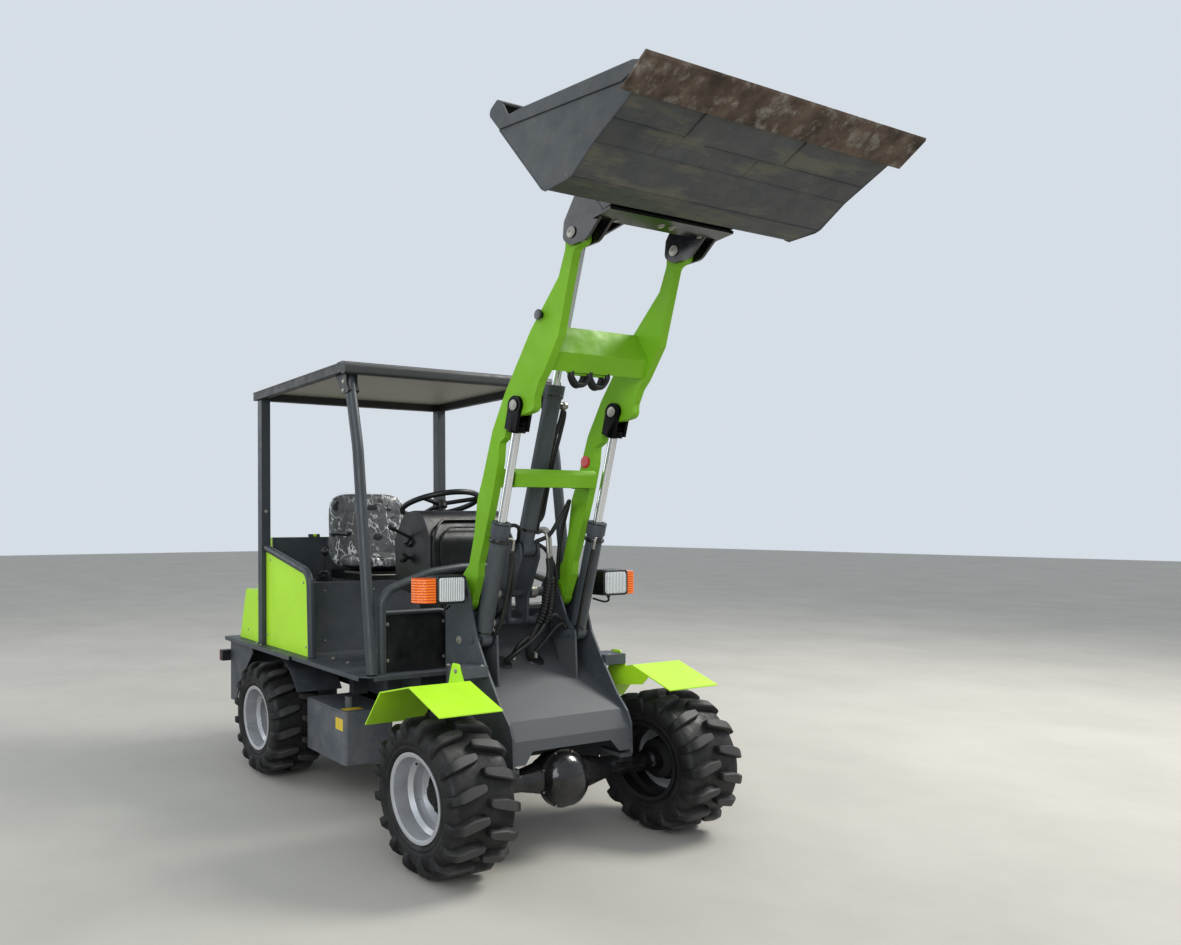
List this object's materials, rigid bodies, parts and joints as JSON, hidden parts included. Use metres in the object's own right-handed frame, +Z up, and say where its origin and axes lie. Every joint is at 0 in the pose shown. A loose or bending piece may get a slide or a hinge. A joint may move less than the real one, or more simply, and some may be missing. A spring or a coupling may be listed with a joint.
{
  "type": "compact articulated wheel loader",
  "caption": "Compact articulated wheel loader with an open canopy; the lift boom is raised and its bucket rolled back.",
  "frame": {"origin": "on the ground, at the middle of the box round the whole machine", "axes": "+Z up, -Y to the front (bucket), +X to the machine's left"},
  "size_m": [1.654, 3.632, 3.1269],
  "materials": {
    "body_lime": "gloss paint",
    "arm_green": "gloss paint",
    "frame_grey": "satin paint",
    "light_grey": "satin paint",
    "gloss_black": "gloss paint",
    "bucket_paint": "satin paint, worn",
    "edge_steel": "rusty",
    "pin_steel": "brushed",
    "rod_chrome": "polished",
    "rim_silver": "satin paint",
    "tyre": "matte",
    "black_plastic": "grained",
    "seat_vinyl": "soft",
    "clear_lens": "clear over a reflector",
    "amber_lens": "glossy",
    "red_lens": "glossy"
  },
  "bodies": {
    "rear_frame": {"rear_axle": "gloss_black", "rear_frame": "frame_grey", "deck": "frame_grey", "rear_mudguards": "frame_grey", "battery_box": "black_plastic", "hydraulic_tank": "frame_grey", "side_panels": "body_lime", "side_rails": "gloss_black", "canopy_posts": "gloss_black", "canopy_roof": "light_grey", "canopy_corner_caps": "black_plastic", "seat_box": "frame_grey", "hood_front_panel": "frame_grey", "rear_cowl": "body_lime", "power_unit": "frame_grey", "seat_cushion": "seat_vinyl", "seat_back": "seat_vinyl", "seat_base": "black_plastic", "console": "black_plastic", "steering_column": "black_plastic", "front_guards": "gloss_black", "front_panels": "black_plastic", "control_levers": "black_plastic", "tow_hitch": "frame_grey", "tail_lamps": "red_lens"},
    "front_frame": {"front_frame": "frame_grey", "front_fenders": "body_lime", "front_brackets": "frame_grey", "headlamp_housings": "black_plastic", "headlamp_lenses": "clear_lens", "turn_lamps": "amber_lens", "front_axle": "gloss_black"},
    "boom": {"boom": "arm_green", "lift_pins": "pin_steel"},
    "lift_barrels": {"lift_barrels": "frame_grey"},
    "lift_rods": {"lift_rods": "rod_chrome"},
    "tilt_base_pin": {"tilt_base_pin": "pin_steel"},
    "tilt_barrel": {"tilt_barrel": "frame_grey"},
    "tilt_rod": {"tilt_rod": "rod_chrome"},
    "bucket_pins": {"bucket_pins": "pin_steel"},
    "bucket": {"bucket": "bucket_paint", "cutting_edge": "edge_steel", "coupler": "gloss_black"},
    "engine_hood": {"engine_hood": "body_lime"},
    "steering_wheel": {"steering_wheel": "black_plastic"},
    "wheel_front_right": {"tyre_front_right": "tyre", "rim_front_right": "rim_silver"},
    "wheel_front_left": {"tyre_front_left": "tyre", "rim_front_left": "rim_silver"},
    "wheel_rear_right": {"tyre_rear_right": "tyre", "rim_rear_right": "rim_silver"},
    "wheel_rear_left": {"tyre_rear_left": "tyre", "rim_rear_left": "rim_silver"}
  },
  "joints": [
    {"name": "articulation", "type": "hinge", "parent": "rear_frame", "child": "front_frame", "pos_m": [0, -0.11, 0.47], "axis": [0, 0, 1], "range_deg": [-25, 25]},
    {"name": "boom_lift", "type": "hinge", "parent": "front_frame", "child": "boom", "pos_m": [0, -0.31, 1.14], "axis": [-1, 0, 0], "range_deg": [-97, 0]},
    {"name": "lift_barrel_swing", "type": "hinge", "parent": "front_frame", "child": "lift_barrels", "pos_m": [0, -0.437, 0.945], "axis": [-1, 0, 0], "range_deg": [-101, 2]},
    {"name": "lift_rod_slide", "type": "slide", "parent": "lift_barrels", "child": "lift_rods", "axis": [0, -0.2522, 0.9677], "range_m": [-0.35, 0.01]},
    {"name": "bucket_levelling", "type": "hinge", "parent": "boom", "child": "bucket_pins", "pos_m": [0, -1.072, 2.651], "axis": [-1, 0, 0], "range_deg": [-1, 66]},
    {"name": "bucket_tilt", "type": "hinge", "parent": "bucket_pins", "child": "bucket", "pos_m": [0, -1.072, 2.651], "axis": [1, 0, 0], "range_deg": [-5, 77]},
    {"name": "tilt_base_swing", "type": "hinge", "parent": "front_frame", "child": "tilt_base_pin", "pos_m": [0, -0.388, 1.362], "axis": [-1, 0, 0], "range_deg": [-112, 1]},
    {"name": "tilt_barrel_swing", "type": "hinge", "parent": "tilt_base_pin", "child": "tilt_barrel", "pos_m": [0, -0.388, 1.362], "axis": [1, 0, 0], "range_deg": [-1, 8]},
    {"name": "tilt_rod_slide", "type": "slide", "parent": "tilt_barrel", "child": "tilt_rod", "axis": [0, -0.2834, 0.959], "range_m": [-0.02, 0.26]},
    {"name": "engine_hood_hinge", "type": "hinge", "parent": "rear_frame", "child": "engine_hood", "pos_m": [0, 1.303, 1.408], "axis": [1, 0, 0], "range_deg": [0, 60]},
    {"name": "steering_wheel_turn", "type": "hinge", "parent": "rear_frame", "child": "steering_wheel", "pos_m": [0, 0.313, 1.591], "axis": [0, 0.2924, 0.9563], "continuous": true},
    {"name": "wheel_front_right_spin", "type": "hinge", "parent": "front_frame", "child": "wheel_front_right", "pos_m": [-0.658, -0.64, 0.33], "axis": [1, 0, 0], "continuous": true},
    {"name": "wheel_front_left_spin", "type": "hinge", "parent": "front_frame", "child": "wheel_front_left", "pos_m": [0.658, -0.64, 0.33], "axis": [1, 0, 0], "continuous": true},
    {"name": "wheel_rear_right_spin", "type": "hinge", "parent": "rear_frame", "child": "wheel_rear_right", "pos_m": [-0.658, 1.058, 0.33], "axis": [1, 0, 0], "continuous": true},
    {"name": "wheel_rear_left_spin", "type": "hinge", "parent": "rear_frame", "child": "wheel_rear_left", "pos_m": [0.658, 1.058, 0.33], "axis": [1, 0, 0], "continuous": true}
  ],
  "couplings": [
    {"joint": "lift_barrel_swing", "follows": "boom_lift", "ratio": 1.0298},
    {"joint": "lift_rod_slide", "follows": "boom_lift", "m_per_rad": 0.20414},
    {"joint": "bucket_levelling", "follows": "boom_lift", "ratio": -0.67},
    {"joint": "tilt_base_swing", "follows": "boom_lift", "ratio": 1.1447},
    {"joint": "tilt_barrel_swing", "follows": "bucket_tilt", "ratio": 0.09},
    {"joint": "tilt_rod_slide", "follows": "bucket_tilt", "m_per_rad": 0.187}
  ]
}
